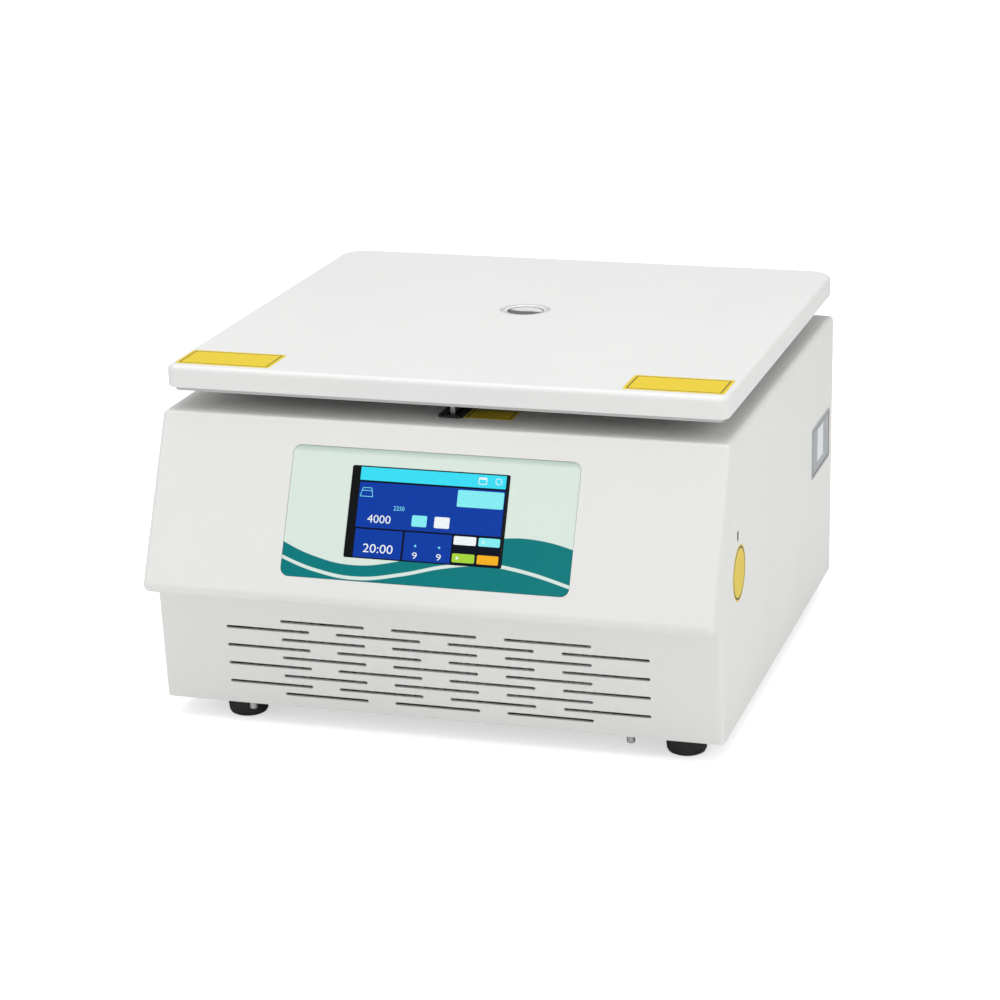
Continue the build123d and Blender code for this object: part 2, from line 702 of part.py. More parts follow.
for place in range(10):
    spot = Pos(0, axis_y, 0) * Rot(0, 0, place * 36)
    knob -= spot * Pos(19.2, 0, (recess_z + rotor_top + 14) / 2 + 0.5) * Cylinder(4.0, 22)
knob -= disc(0, axis_y, recess_z - 1, shaft_tip + 1, 4.0 + run)
save("rotor_nut", knob)

# Cooling set: condenser behind the slots, two fans, compressor, drier and pipes.
cond_y0, cond_y1 = seam_y - 10.7, seam_y + 11.3
cond_z0, cond_z1 = plate_top + 4.0, plate_top + 72.0
cond_half = half - 62.0
condenser = block(-cond_half, cond_half, cond_y0 + 3, cond_y1, cond_z0, cond_z1)
fins = 36
fin_pitch = (2 * cond_half - 12) / fins
for index in range(fins):
    x = -cond_half + 6 + (index + 0.5) * fin_pitch
    condenser -= block(x - 2.6, x + 2.6, cond_y0, cond_y0 + 10, cond_z0 - 1, cond_z1 + 1)
for side in (-1, 1):
    condenser += block(
        side * cond_half - 2, side * cond_half + 2, cond_y0, cond_y1, plate_top, cond_z1 + 2
    )
save("condenser", condenser)
fan_x = cond_half / 2
fan_z = plate_top + 37.0
fan_size = 70.0
fan_hole = 32.5
shroud_y = cond_y1
shroud = block(-cond_half, cond_half, shroud_y, shroud_y + sheet, plate_top, cond_z1)
for side in (-1, 1):
    shroud -= bar_y(side * fan_x, shroud_y - 1, shroud_y + 4, fan_z, fan_hole)
shroud += block(-cond_half, cond_half, shroud_y, shroud_y + 12, plate_top, plate_top + sheet)
save("fan_shroud", shroud)
fan_y0 = shroud_y + sheet
fan_depth = 16.0
for name, side in (("left", -1), ("right", 1)):
    x = side * fan_x
    fan_frame = Pos(x, fan_y0, fan_z) * extrude(Plane.XZ * RectangleRounded(fan_size, fan_size, 5), -fan_depth)
    fan_frame -= bar_y(x, fan_y0 - 1, fan_y0 + fan_depth + 1, fan_z, fan_hole)
    fan_frame += bar_y(x, fan_y0 + fan_depth - 3, fan_y0 + fan_depth, fan_z, 13)
    for angle in (45, 135, 225, 315):
        strut = Pos(x, fan_y0 + fan_depth - 1.5, fan_z) * Rot(0, angle, 0)
        fan_frame += strut * Pos(22, 0, 0) * Box(24, 3, 3)
    fan_frame += bar_y(x, fan_y0 + 4, fan_y0 + fan_depth - 2, fan_z, 1.5)
    save(f"fan_frame_{name}", fan_frame)
    wheel = bar_y(x, fan_y0 + 1.5, fan_y0 + fan_depth - 3.6, fan_z, 12.5)
    wheel -= bar_y(x, fan_y0 + 3.5, fan_y0 + fan_depth, fan_z, 1.5 + run)
    blade_spot = Pos(x, fan_y0 + 6.7, fan_z)
    for index in range(7):
        blade = Rot(0, index * 360 / 7, 0) * Pos(21.5, 0, 0) * Rot(38, 0, 0) * Box(19.6, 1.2, 13)
        wheel += blade_spot * blade
    save(f"fan_wheel_{name}", wheel)

comp_z = plate_top + 9.0
compressor = turned(
    [
        (0, comp_z),
        (comp_radius - 6, comp_z),
        (comp_radius, comp_z + 7),
        (comp_radius, comp_z + 58),
        (comp_radius + 1.2, comp_z + 58),
        (comp_radius + 1.2, comp_z + 62),
        (comp_radius, comp_z + 62),
        (comp_radius, comp_z + 112),
        (comp_radius - 3, comp_z + 119),
        (comp_radius - 12, comp_z + 124),
        (0, comp_z + 125),
    ],
    comp_x,
    comp_y,
)
compressor += Pos(comp_x, comp_y, comp_z) * extrude(RectangleRounded(82, 82, 10), -2.0)
compressor += Pos(comp_x, comp_y, comp_z - 1) * Cylinder(comp_radius - 8, 3)
save("compressor", compressor)
grommet_spots = [(comp_x + i * 33, comp_y + j * 33) for i in (-1, 1) for j in (-1, 1)]
grommets = [disc(x, y, plate_top, comp_z - 2, 6.0) for x, y in grommet_spots]
save("rubber_mounts", Compound(children=dampers + grommets))

drier_x, drier_z = 44.0 - half, plate_top + 16.0
drier_y0 = cond_y1 + 52.0
drier_y1 = drier_y0 + 60.0
drier = bar_y(drier_x, drier_y0, drier_y1, drier_z, 9.0)
drier = chamfer(drier.edges().filter_by(GeomType.CIRCLE), 4.0)
save("filter_drier", drier)
cond_end_x = cond_half + 2.2
pipe_radius = 3.0
header_y = cond_y1 - 12.0
riser_x = half - 17.0
discharge = pipe(
    [
        (comp_x, comp_y, comp_z + 125.2),
        (comp_x, comp_y, comp_z + 142),
        (riser_x, comp_y - 20, comp_z + 142),
        (riser_x, cond_y1 + 16, comp_z + 142),
        (riser_x, cond_y1 + 16, plate_top + 46),
        (riser_x, header_y, plate_top + 46),
        (cond_end_x, header_y, plate_top + 46),
    ],
    pipe_radius,
    8.0,
)
liquid_in = pipe(
    [(-cond_end_x, header_y, drier_z), (drier_x, header_y, drier_z), (drier_x, drier_y0 - 0.2, drier_z)],
    pipe_radius,
    7.0,
)
entry_x, entry_y = -0.72 * insulation_radius, axis_y - 60.0
liquid_out = pipe(
    [
        (drier_x, drier_y1 + 0.2, drier_z),
        (drier_x, entry_y, drier_z),
        (entry_x, entry_y, drier_z),
        (entry_x, entry_y, insulation_floor - 0.2),
    ],
    pipe_radius,
    8.0,
)
reach = comp_radius + 0.4
exit_x, exit_y = 0.6 * insulation_radius, axis_y + 60.0
aim = math.atan2(comp_y - exit_y, comp_x - exit_x)
suction_z = insulation_floor - 21.0
suction = pipe(
    [
        (exit_x, exit_y, insulation_floor - 0.2),
        (exit_x, exit_y, suction_z),
        (comp_x - reach * math.cos(aim), comp_y - reach * math.sin(aim), suction_z),
    ],
    pipe_radius + 1.0,
    8.0,
)
save("cooling_pipes", Compound(children=[discharge, liquid_in, liquid_out, suction]))

# Power entry on the rear panel, and the drive electronics on the left side.
inlet = block(inlet_x - 13.6, inlet_x + 13.6, rear_y - 24, rear_y + 0.5, inlet_z - 10, inlet_z + 10)
inlet += Pos(inlet_x, rear_y, inlet_z) * extrude(Plane.XZ * RectangleRounded(44, 24, 3), -2.0)
inlet -= Pos(inlet_x, rear_y + 5, inlet_z) * extrude(Plane.XZ * RectangleRounded(24.2, 16.4, 2), 22.0)
for x, z in ((0, 3.0), (-7, -2.0), (7, -2.0)):
    inlet += block(inlet_x + x - 1, inlet_x + x + 1, rear_y - 18, rear_y - 2, inlet_z + z - 2, inlet_z + z + 2)
save("power_inlet", inlet)
housing = block(switch_x - 9, switch_x + 9, rear_y - 20, rear_y + 0.5, switch_z - 13, switch_z + 13)
housing += Pos(switch_x, rear_y, switch_z) * extrude(Plane.XZ * RectangleRounded(22, 30, 2), -2.0)
housing -= block(switch_x - 6.6, switch_x + 6.6, rear_y - 10, rear_y + 3, switch_z - 10.4, switch_z + 10.4)
rocker_y = rear_y - 2.5
housing -= bar_x(switch_x - 8, switch_x + 8, rocker_y, switch_z, 1.5 + run)
save("switch_housing", housing)
rocker_tilt = 8.0
rocker = Plane.YZ * outline([(-5, -6), (-5, 6), (4, 9.6), (3.2, 0), (4, -9.6)], {0: 2.0, 1: 2.0})
rocker = extrude(rocker, amount=6.2, both=True) + bar_x(-7.8, 7.8, 0, 0, 1.5)
save("switch_rocker", Pos(switch_x, rocker_y, switch_z) * Rot(rocker_tilt, 0, 0) * rocker)
fuse = bar_y(fuse_x, rear_y - 26, rear_y + 0.5, fuse_z, 6.1)
fuse += bar_y(fuse_x, rear_y, rear_y + 2.0, fuse_z, 8.5)
fuse += bar_y(fuse_x, rear_y, rear_y + 7.0, fuse_z, 6.0)
fuse -= Pos(fuse_x, rear_y + 7.0, fuse_z) * Box(8, 2.4, 1.4)
save("fuse_holder", fuse)

board_x = -half + sheet + 12.0
board_y = axis_y - 48.0
board_low = plate_top + 48.0
drive = block(board_x, board_x + 1.6, board_y - 95, board_y + 95, board_low, board_low + 110)
for y, z, radius, tall in ((-80, 14, 9, 22), (-80, 38, 9, 22), (76, 18, 7, 18), (76, 36, 7, 18)):
    drive += bar_x(board_x + 1, board_x + 1.6 + tall, board_y + y, board_low + z, radius)
drive += block(board_x + 1, board_x + 20, board_y + 40, board_y + 66, board_low + 64, board_low + 102)
for y in (board_y - 88, board_y + 88):
    for z in (board_low + 7, board_low + 103):
        drive += bar_x(-half + sheet, board_x + 1, y, z, 3.0)
save("drive_board", drive)
sink = block(board_x + 1.6, board_x + 6, board_y - 60, board_y + 30, board_low + 18, board_low + 86)
for index in range(10):
    y = board_y - 58.5 + index * 9.4
    sink += block(board_x + 5, board_x + 24, y - 1.2, y + 1.2, board_low + 18, board_low + 86)
save("drive_heatsink", sink)
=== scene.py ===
# %% [markdown]
# # A refrigerated bench centrifuge
# The object is a low white box with a flat hinged lid and a sloped front that holds a touch display.
# The solids come finished from CAD. This notebook gives each one the finish of the real material,
# adds the printed and lit parts, and sets up a plain studio.

import math

import bmesh
import bpy
from mathutils import Matrix, Vector


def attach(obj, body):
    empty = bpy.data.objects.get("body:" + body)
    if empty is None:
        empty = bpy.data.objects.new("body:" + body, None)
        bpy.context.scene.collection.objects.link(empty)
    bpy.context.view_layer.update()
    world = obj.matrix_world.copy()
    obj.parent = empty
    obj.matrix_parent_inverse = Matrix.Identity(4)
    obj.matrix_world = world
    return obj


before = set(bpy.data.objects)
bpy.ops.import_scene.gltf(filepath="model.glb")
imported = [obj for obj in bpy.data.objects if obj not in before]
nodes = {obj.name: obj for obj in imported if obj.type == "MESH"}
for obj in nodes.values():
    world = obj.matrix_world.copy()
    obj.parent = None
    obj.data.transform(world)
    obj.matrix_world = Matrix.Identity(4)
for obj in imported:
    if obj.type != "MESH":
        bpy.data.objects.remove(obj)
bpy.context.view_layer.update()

# %% [markdown]
# Lengths are easier to read in millimetres, so one factor turns them to Blender's metres.
# The sloped front is a flat plane. A point on it is given by how far right of the middle it lies
# and how far down the slope from the top edge, so the display and the print share one matrix.

# %% Millimetres and the plane of the sloped front
MM = 0.001
SLOPE = math.radians(24.95)
DECK_Z = 229.9
FRONT_Y = -178.135
AXIS_Y = 46.765
FRONT_TOP = Vector((0.0, FRONT_Y, DECK_Z)) * MM
down_slope = Vector((0.0, -math.sin(SLOPE), -math.cos(SLOPE)))
off_slope = Vector((0.0, -math.cos(SLOPE), math.sin(SLOPE)))
front_matrix = Matrix(
    (
        (1.0, -down_slope.x, off_slope.x, FRONT_TOP.x),
        (0.0, -down_slope.y, off_slope.y, FRONT_TOP.y),
        (0.0, -down_slope.z, off_slope.z, FRONT_TOP.z),
        (0.0, 0.0, 0.0, 1.0),
    )
)
print("the front leans back by", round(math.degrees(SLOPE), 1), "degrees")

# %% [markdown]
# ## The camera
# The photograph was taken from the front right, a little above the lid, with a long lens.
# Its place and turn come from the straight edges of the body, fitted to their lines in the picture.

# %% Camera
CAMERA_PLACE = (0.62687, -2.137175, 0.79761)
CAMERA_TURN = (73.1656, 0.9292, 16.2895)
LENS_MM = 108.8
camera = bpy.data.objects.new("camera", bpy.data.cameras.new("camera"))
bpy.context.collection.objects.link(camera)
camera.location = CAMERA_PLACE
camera.rotation_euler = [math.radians(angle) for angle in CAMERA_TURN]
camera.data.sensor_width = 36.0
camera.data.lens = LENS_MM
camera.data.clip_start = 0.05
bpy.context.scene.camera = camera
print("lens in millimetres:", camera.data.lens)

# %% [markdown]
# ## The studio
# A white product is lit almost evenly from everywhere, with one broad soft light above to shade
# the slopes and three weaker ones that lift the front and the sides. The floor is pale, wide and
# without texture, so that only the object draws the eye.

# %% Floor
FLOOR_HALF = 9.0
floor_mesh = bpy.data.meshes.new("floor")
shape = bmesh.new()
bmesh.ops.create_grid(shape, x_segments=1, y_segments=1, size=FLOOR_HALF)
shape.to_mesh(floor_mesh)
shape.free()
floor = bpy.data.objects.new("floor", floor_mesh)
bpy.context.collection.objects.link(floor)
print("floor spans", round(floor.dimensions.x, 1), "m")

# %% Lights
LIGHTS = {
    "soft_top": ((-0.1, -0.2, 2.4), (0.0, 0.0, 0.0), 2.4, 33.5),
    "soft_left": ((-2.6, -1.6, 1.7), (0.0, 0.0, 0.15), 2.0, 8.0),
    "soft_right": ((2.6, -0.6, 1.6), (0.0, 0.0, 0.15), 2.0, 18.0),
    "soft_front": ((0.3, -3.2, 1.2), (0.0, 0.0, 0.12), 2.4, 12.0),
}
for name, (place, target, size, power) in LIGHTS.items():
    lamp = bpy.data.lights.new(name, "AREA")
    lamp.size = size
    lamp.energy = power
    holder = bpy.data.objects.new(name, lamp)
    holder.location = place
    holder.rotation_euler = (Vector(target) - Vector(place)).to_track_quat("-Z", "Y").to_euler()
    bpy.context.collection.objects.link(holder)
print(len(LIGHTS), "soft lights")

# %% [markdown]
# The backdrop is pure white, as in a catalogue picture, but a sky that white would flatten the
# object. So the camera sees a brighter sky than the one that lights the object.

# %% Sky
SKY_LIGHT = 0.48
BACKDROP_LIGHT = 1.1
WHITE = (1.0, 1.0, 1.0, 1.0)
sky = bpy.data.worlds.new("studio_sky")
sky.use_nodes = True
sky_tree = sky.node_tree
lighting = sky_tree.nodes["Background"]
lighting.inputs["Color"].default_value = WHITE
lighting.inputs["Strength"].default_value = SKY_LIGHT
backdrop = sky_tree.nodes.new("ShaderNodeBackground")
backdrop.inputs["Color"].default_value = WHITE
backdrop.inputs["Strength"].default_value = BACKDROP_LIGHT
seen = sky_tree.nodes.new("ShaderNodeLightPath")
choose = sky_tree.nodes.new("ShaderNodeMixShader")
sky_tree.links.new(seen.outputs["Is Camera Ray"], choose.inputs["Fac"])
sky_tree.links.new(lighting.outputs["Background"], choose.inputs[1])
sky_tree.links.new(backdrop.outputs["Background"], choose.inputs[2])
sky_tree.links.new(choose.outputs["Shader"], sky_tree.nodes["World Output"].inputs["Surface"])
bpy.context.scene.world = sky
bpy.context.scene.view_settings.view_transform = "Standard"
print("sky light:", SKY_LIGHT, "backdrop:", BACKDROP_LIGHT)

# %% [markdown]
# ## Helpers for finishes
# Colours are written as the hex values a picture shows and turned to linear light once.
# Every finish begins as a Principled shader; one function adds a node with its settings and links.

# %% Colour and node helpers
def linear(hex_text):
    """Linear colour, with alpha 1, of an sRGB hex value."""
    channels = [int(hex_text[i : i + 2], 16) / 255.0 for i in (1, 3, 5)]
    return (*[c / 12.92 if c <= 0.04045 else ((c + 0.055) / 1.055) ** 2.4 for c in channels], 1.0)


def add_node(tree, kind, settings=None, links=None):
    """Add one shader node, set its properties or sockets, and link its inputs."""
    made = tree.nodes.new(kind)
    for key, value in (settings or {}).items():
        if isinstance(key, int) or key in made.inputs:
            made.inputs[key].default_value = value
        else:
            setattr(made, key, value)
    for key, source in (links or {}).items():
        tree.links.new(source, made.inputs[key])
    return made


def new_finish(name, colour, **numbers):
    """Material with one Principled shader; gives the material, its tree and the shader."""
    finish = bpy.data.materials.new(name)
    finish.use_nodes = True
    tree = finish.node_tree
    shader = tree.nodes["Principled BSDF"]
    shader.inputs["Base Color"].default_value = linear(colour)
    for key, value in numbers.items():
        shader.inputs[key.replace("_", " ")].default_value = value
    finish.diffuse_color = linear(colour)
    return finish, tree, shader


def object_space(tree, offset_mm=(0, 0, 0), scale=(1, 1, 1)):
    """Object coordinates in metres, moved and scaled by a Mapping node."""
    place = add_node(tree, "ShaderNodeTexCoord").outputs["Object"]
    shift = tuple(v * MM for v in offset_mm)
    mapping = {"Location": shift, "Scale": scale}
    return add_node(tree, "ShaderNodeMapping", mapping, {"Vector": place}).outputs["Vector"]


def grain(tree, shader, size_mm, height_mm, strength, space=None):
    """Fine surface relief: a noise of one real grain size, as bump."""
    space = space or object_space(tree)
    settings = {"Scale": 1.0 / (size_mm * MM), "Detail": 2.0, "Roughness": 0.55}
    noise = add_node(tree, "ShaderNodeTexNoise", settings, {"Vector": space})
    settings = {"Strength": strength, "Distance": height_mm * MM}
    bump = add_node(tree, "ShaderNodeBump", settings, {"Height": noise.outputs["Fac"]})
    tree.links.new(bump.outputs["Normal"], shader.inputs["Normal"])
    return noise


def two_tone(tree, shader, factor, low, high, start=0.3, end=0.7):
    """Colour that drifts between two hex values with a 0 to 1 factor."""
    ramp = add_node(tree, "ShaderNodeValToRGB", None, {"Fac": factor})
    ramp.color_ramp.elements[0].position = start
    ramp.color_ramp.elements[0].color = linear(low)
    ramp.color_ramp.elements[1].position = end
    ramp.color_ramp.elements[1].color = linear(high)
    tree.links.new(ramp.outputs["Color"], shader.inputs["Base Color"])
    return ramp


def vary_roughness(tree, shader, factor, low, high):
    """Roughness between two values, following a 0 to 1 factor."""
    settings = {"To Min": low, "To Max": high}
    spread = add_node(tree, "ShaderNodeMapRange", settings, {"Value": factor})
    tree.links.new(spread.outputs["Result"], shader.inputs["Roughness"])


def dress(finish, *names):
    """Give one finish to CAD nodes."""
    for name in names:
        nodes[name].data.materials.clear()
        nodes[name].data.materials.append(finish)
        dressed.add(name)


dressed = set()
print("helpers ready")

# %% [markdown]
# ## White painted steel
# The wrap, the rear panel and the lid are steel sheet with a baked powder coat. Powder melts into
# a skin with a fine even texture, so the highlight on each rounded edge is soft and wide.
# The real grain is about 0.4 mm, finer than a pixel, so it is drawn at 1 mm to show.

# %% Powder coat on the cabinet and the lid
def powder_coat(name, low, high, roughness):
    """Textured powder coat between two near whites."""
    finish, tree, shader = new_finish(name, high, Roughness=roughness)
    fine = grain(tree, shader, 1.0, 0.05, 0.35)
    cloud = {"Scale": 9.0, "Detail": 3.0}
    drift = add_node(tree, "ShaderNodeTexNoise", cloud, {"Vector": object_space(tree)})
    two_tone(tree, shader, drift.outputs["Fac"], low, high)
    vary_roughness(tree, shader, fine.outputs["Fac"], roughness - 0.07, roughness + 0.07)
    return finish


cabinet_paint = powder_coat("powder_coat_cabinet", "#E6E6E4", "#E9E9E7", 0.42)
lid_paint = powder_coat("powder_coat_lid", "#E9E9E8", "#ECECEB", 0.36)
dress(cabinet_paint, "cabinet_wrap", "rear_panel")
dress(lid_paint, "lid_shell")
print("painted:", cabinet_paint.name, lid_paint.name)

# %% [markdown]
# ## The moulded front and the lid's liner
# The front cover is one ABS moulding, sprayed to match the steel. Its spark-eroded mould leaves a
# slightly deeper grain than the powder, with the same colour. The liner under the lid is ABS too,
# left in its own light grey.

# %% Mouldings
cover_paint, tree, shader = new_finish("sprayed_moulding", "#E7E7E5", Roughness=0.4)
fine = grain(tree, shader, 1.2, 0.06, 0.35)
cloud = {"Scale": 7.0, "Detail": 3.0}
drift = add_node(tree, "ShaderNodeTexNoise", cloud, {"Vector": object_space(tree)})
two_tone(tree, shader, drift.outputs["Fac"], "#E5E5E3", "#E8E8E6")
vary_roughness(tree, shader, fine.outputs["Fac"], 0.34, 0.5)
dress(cover_paint, "front_cover")
liner_plastic, tree, shader = new_finish("moulded_grey_liner", "#C9CAC9", Roughness=0.5)
fine = grain(tree, shader, 1.0, 0.05, 0.35)
two_tone(tree, shader, fine.outputs["Fac"], "#C5C6C5", "#CDCECD")
dress(liner_plastic, "lid_liner", "lid_seal_ring")
print("moulded:", cover_paint.name, liner_plastic.name)

# %% [markdown]
# ## Black plastics and rubber
# Fans, lock bezel and rear fittings are black ABS or polyamide with a fine matt grain.
# Feet, seal and mounts are moulded rubber, which is duller and shows faint mould dust.

# %% Black ABS
black_abs, tree, shader = new_finish("black_abs", "#1C1D1F", Roughness=0.5)
fine = grain(tree, shader, 0.8, 0.05, 0.4)
two_tone(tree, shader, fine.outputs["Fac"], "#191A1C", "#212225")
dress(black_abs, "lock_bezel", "lock_actuator", "release_bush", "fan_frame_left")
dress(black_abs, "fan_frame_right", "power_inlet", "switch_housing", "fuse_holder")
fan_plastic, tree, shader = new_finish("glass_filled_nylon", "#26282B", Roughness=0.45)
grain(tree, shader, 0.7, 0.03, 0.3)
dress(fan_plastic, "fan_wheel_left", "fan_wheel_right", "rotor_nut")
print("plastics:", black_abs.name, fan_plastic.name)

# %% Rubber
rubber, tree, shader = new_finish("moulded_rubber", "#232323", Roughness=0.78)
fine = grain(tree, shader, 1.1, 0.08, 0.5)
two_tone(tree, shader, fine.outputs["Fac"], "#1D1D1D", "#2C2C2B")
dress(rubber, "foot_front_left", "foot_front_right", "foot_rear_left", "foot_rear_right")
dress(rubber, "lid_seal", "rubber_mounts")
foam, tree, shader = new_finish("closed_cell_foam", "#2A2B2C", Roughness=0.9)
cell = add_node(tree, "ShaderNodeTexVoronoi", {"Scale": 420.0}, {"Vector": object_space(tree)})
settings = {"Strength": 0.6, "Distance": 0.4 * MM}
bump = add_node(tree, "ShaderNodeBump", settings, {"Height": cell.outputs["Distance"]})
tree.links.new(bump.outputs["Normal"], shader.inputs["Normal"])
two_tone(tree, shader, cell.outputs["Distance"], "#1E1F20", "#343536", 0.0, 0.9)
dress(foam, "chamber_insulation")
print("rubber:", rubber.name, foam.name)

# %% [markdown]
# ## Bare metals
# Screws, shafts, brackets and hinges are zinc-plated or ground steel: grey, with drawn streaks.
# Stretching a noise along one axis draws such streaks. Spun and turned parts, the bowl and the
# rotor, carry rings around their axis instead, so their noise runs on the distance from it.

# %% Drawn and plated steel
steel, tree, shader = new_finish("zinc_plated_steel", "#B4B6B8", Metallic=1.0, Roughness=0.34)
streaks = object_space(tree, scale=(1.0, 0.06, 1.0))
noise = add_node(tree, "ShaderNodeTexNoise", {"Scale": 900.0, "Detail": 3.0}, {"Vector": streaks})
two_tone(tree, shader, noise.outputs["Fac"], "#A5A7A9", "#C4C5C6")
vary_roughness(tree, shader, noise.outputs["Fac"], 0.26, 0.45)
dress(steel, "base_plate", "lid_plate", "lid_striker", "hinge_brackets", "hinge_leaves", "hinge_pins")
dress(steel, "lock_frame", "lock_bolt", "motor_plate", "motor_shaft", "fan_shroud", "display_bracket")
dress(steel, "display_screws", "foot_screws", "base_studs", "case_screws")
print("plated pieces share", steel.name)

# %% Turned metals
def axis_distance(tree):
    """Distance in metres from the upright axis through the rotor and the window."""
    centred = object_space(tree, (0, -AXIS_Y, 0))
    flat = add_node(tree, "ShaderNodeVectorMath", {"operation": "MULTIPLY", 1: (1, 1, 0)}, {0: centred})
    length = {"operation": "LENGTH"}
    return add_node(tree, "ShaderNodeVectorMath", length, {0: flat.outputs["Vector"]}).outputs["Value"]


def turned_metal(name, low, high, ring_mm, rough):
    """Metal with fine rings around the rotor's axis."""
    finish, tree, shader = new_finish(name, high, Metallic=1.0, Roughness=rough)
    centred = object_space(tree, (0, -AXIS_Y, 0))
    height = add_node(tree, "ShaderNodeSeparateXYZ", None, {"Vector": centred})
    links = {"X": axis_distance(tree), "Z": height.outputs["Z"]}
    rings = add_node(tree, "ShaderNodeCombineXYZ", None, links)
    settings = {"Scale": 1.0 / (ring_mm * MM), "Detail": 2.0}
    noise = add_node(tree, "ShaderNodeTexNoise", settings, {"Vector": rings.outputs["Vector"]})
    two_tone(tree, shader, noise.outputs["Fac"], low, high)
    vary_roughness(tree, shader, noise.outputs["Fac"], rough - 0.08, rough + 0.08)
    return finish


dress(turned_metal("spun_stainless", "#B2B4B5", "#CBCCCC", 0.9, 0.26), "chamber_bowl")
dress(turned_metal("anodised_aluminium", "#A9ACAF", "#C3C6C8", 0.7, 0.36), "rotor_base", "rotor_head")
finned, tree, shader = new_finish("mill_aluminium", "#B9BCBE", Metallic=1.0, Roughness=0.42)
settings = {"Scale": 300.0, "Detail": 3.0}
noise = add_node(tree, "ShaderNodeTexNoise", settings, {"Vector": object_space(tree)})
two_tone(tree, shader, noise.outputs["Fac"], "#A6A9AB", "#C9CBCC")
dress(finned, "condenser", "drive_heatsink")
print("turned and finned metals ready")

# %% Copper pipe and painted black steel
copper, tree, shader = new_finish("drawn_copper", "#B87354", Metallic=1.0, Roughness=0.32)
settings = {"Scale": 60.0, "Detail": 4.0}
noise = add_node(tree, "ShaderNodeTexNoise", settings, {"Vector": object_space(tree)})
two_tone(tree, shader, noise.outputs["Fac"], "#8F5238", "#C98767")
vary_roughness(tree, shader, noise.outputs["Fac"], 0.25, 0.5)
dress(copper, "evaporator_coil", "cooling_pipes", "filter_drier")
black_paint, tree, shader = new_finish("black_dip_paint", "#1A1B1C", Roughness=0.38)
grain(tree, shader, 2.5, 0.08, 0.25)
dress(black_paint, "compressor", "motor_body")
print("cooling set:", copper.name, black_paint.name)

# %% Circuit boards
board, tree, shader = new_finish("solder_mask", "#1C5B35", Roughness=0.35)
settings = {
    "Scale": 260.0,
    "Mortar Size": 0.035,
    "Color1": linear("#1C5B35"),
    "Color2": linear("#1A5431"),
    "Mortar": linear("#2F7A4A"),
}
tracks = add_node(tree, "ShaderNodeTexBrick", settings, {"Vector": object_space(tree)})
tree.links.new(tracks.outputs["Color"], shader.inputs["Base Color"])
dress(board, "control_board", "drive_board")
print("boards:", board.name)

# %% [markdown]
# ## The rocker and the window
# The power rocker is glossy black polycarbonate. The window's two panes are clear acrylic, with a
# painted reflection of the room on their rear half and painted shade where they show the closed
# chamber. The rim's bright and dark rings are painted reflections of its polished steps.

# %% Rocker and lenses
gloss_black, tree, shader = new_finish("gloss_polycarbonate", "#141517", Roughness=0.2)
grain(tree, shader, 3.0, 0.02, 0.1)
dress(gloss_black, "switch_rocker")
acrylic, tree, shader = new_finish("clear_acrylic", "#F2F6F5", Roughness=0.03, IOR=1.49)
settings = {"Scale": 120.0, "Detail": 2.0}
haze = add_node(tree, "ShaderNodeTexNoise", settings, {"Vector": object_space(tree)})
vary_roughness(tree, shader, haze.outputs["Fac"], 0.02, 0.07)
# Painted reflection and shade: the panes' colour goes from dark at the front (painted shade of the
# closed chamber) to bright at the rear (painted reflection of the room), and the bright part lets less
# light through.
centred = object_space(tree, (0, -AXIS_Y, 0))
parts = add_node(tree, "ShaderNodeSeparateXYZ", None, {"Vector": centred})
settings = {"operation": "MULTIPLY_ADD", 1: 8.0 * MM}
wobble = add_node(tree, "ShaderNodeMath", settings, {0: haze.outputs["Fac"]})
tree.links.new(parts.outputs["Y"], wobble.inputs[2])
settings = {"From Min": 2.5 * MM, "From Max": 6.5 * MM}
painted_reflection = add_node(tree, "ShaderNodeMapRange", settings, {"Value": wobble.outputs["Value"]})
two_tone(tree, shader, painted_reflection.outputs["Result"], "#5E5C5E", "#F0EEF0", 0.1, 0.9)
settings = {"To Min": 0.7, "To Max": 0.1}
clear = add_node(tree, "ShaderNodeMapRange", settings, {"Value": painted_reflection.outputs["Result"]})
tree.links.new(clear.outputs["Result"], shader.inputs["Transmission Weight"])
dress(acrylic, "window_lenses")
# The rim's colour is painted reflection: bright and dark rings around the axis stand in for the light
# its polished steps reflect.
rim, tree, shader = new_finish("window_rim_painted_reflections", "#DADCDC", Roughness=0.18)
settings = {"From Min": 13.0 * MM, "From Max": 19.2 * MM}
across = add_node(tree, "ShaderNodeMapRange", settings, {"Value": axis_distance(tree)}).outputs["Result"]
ramp = two_tone(tree, shader, across, "#6E7072", "#77797A", 0.0, 1.0)
RIM_REFLECTION_RINGS = (
    (0.18, "#8B8D8E"),
    (0.3, "#E2E3E3"),
    (0.5, "#F0F1F1"),
    (0.62, "#9A9C9D"),
    (0.74, "#E6E7E7"),
    (0.92, "#D9DADA"),
)
for position, colour in RIM_REFLECTION_RINGS:
    ramp.color_ramp.elements.new(position).color = linear(colour)
dress(rim, "window_bezel")
print("clear parts:", acrylic.name, rim.name)

# %% [markdown]
# ## The printed panel around the display
# The overlay is a polycarbonate sheet, printed on its back in pale green with a darker wave that
# runs behind the display and a thin pale band in it. A curve for each edge gives how far down the
# slope it lies at each place across, and a point takes the darker ink where it lies below. The
# sheet lies in a shallow recess, whose upper wall shades the first few millimetres.

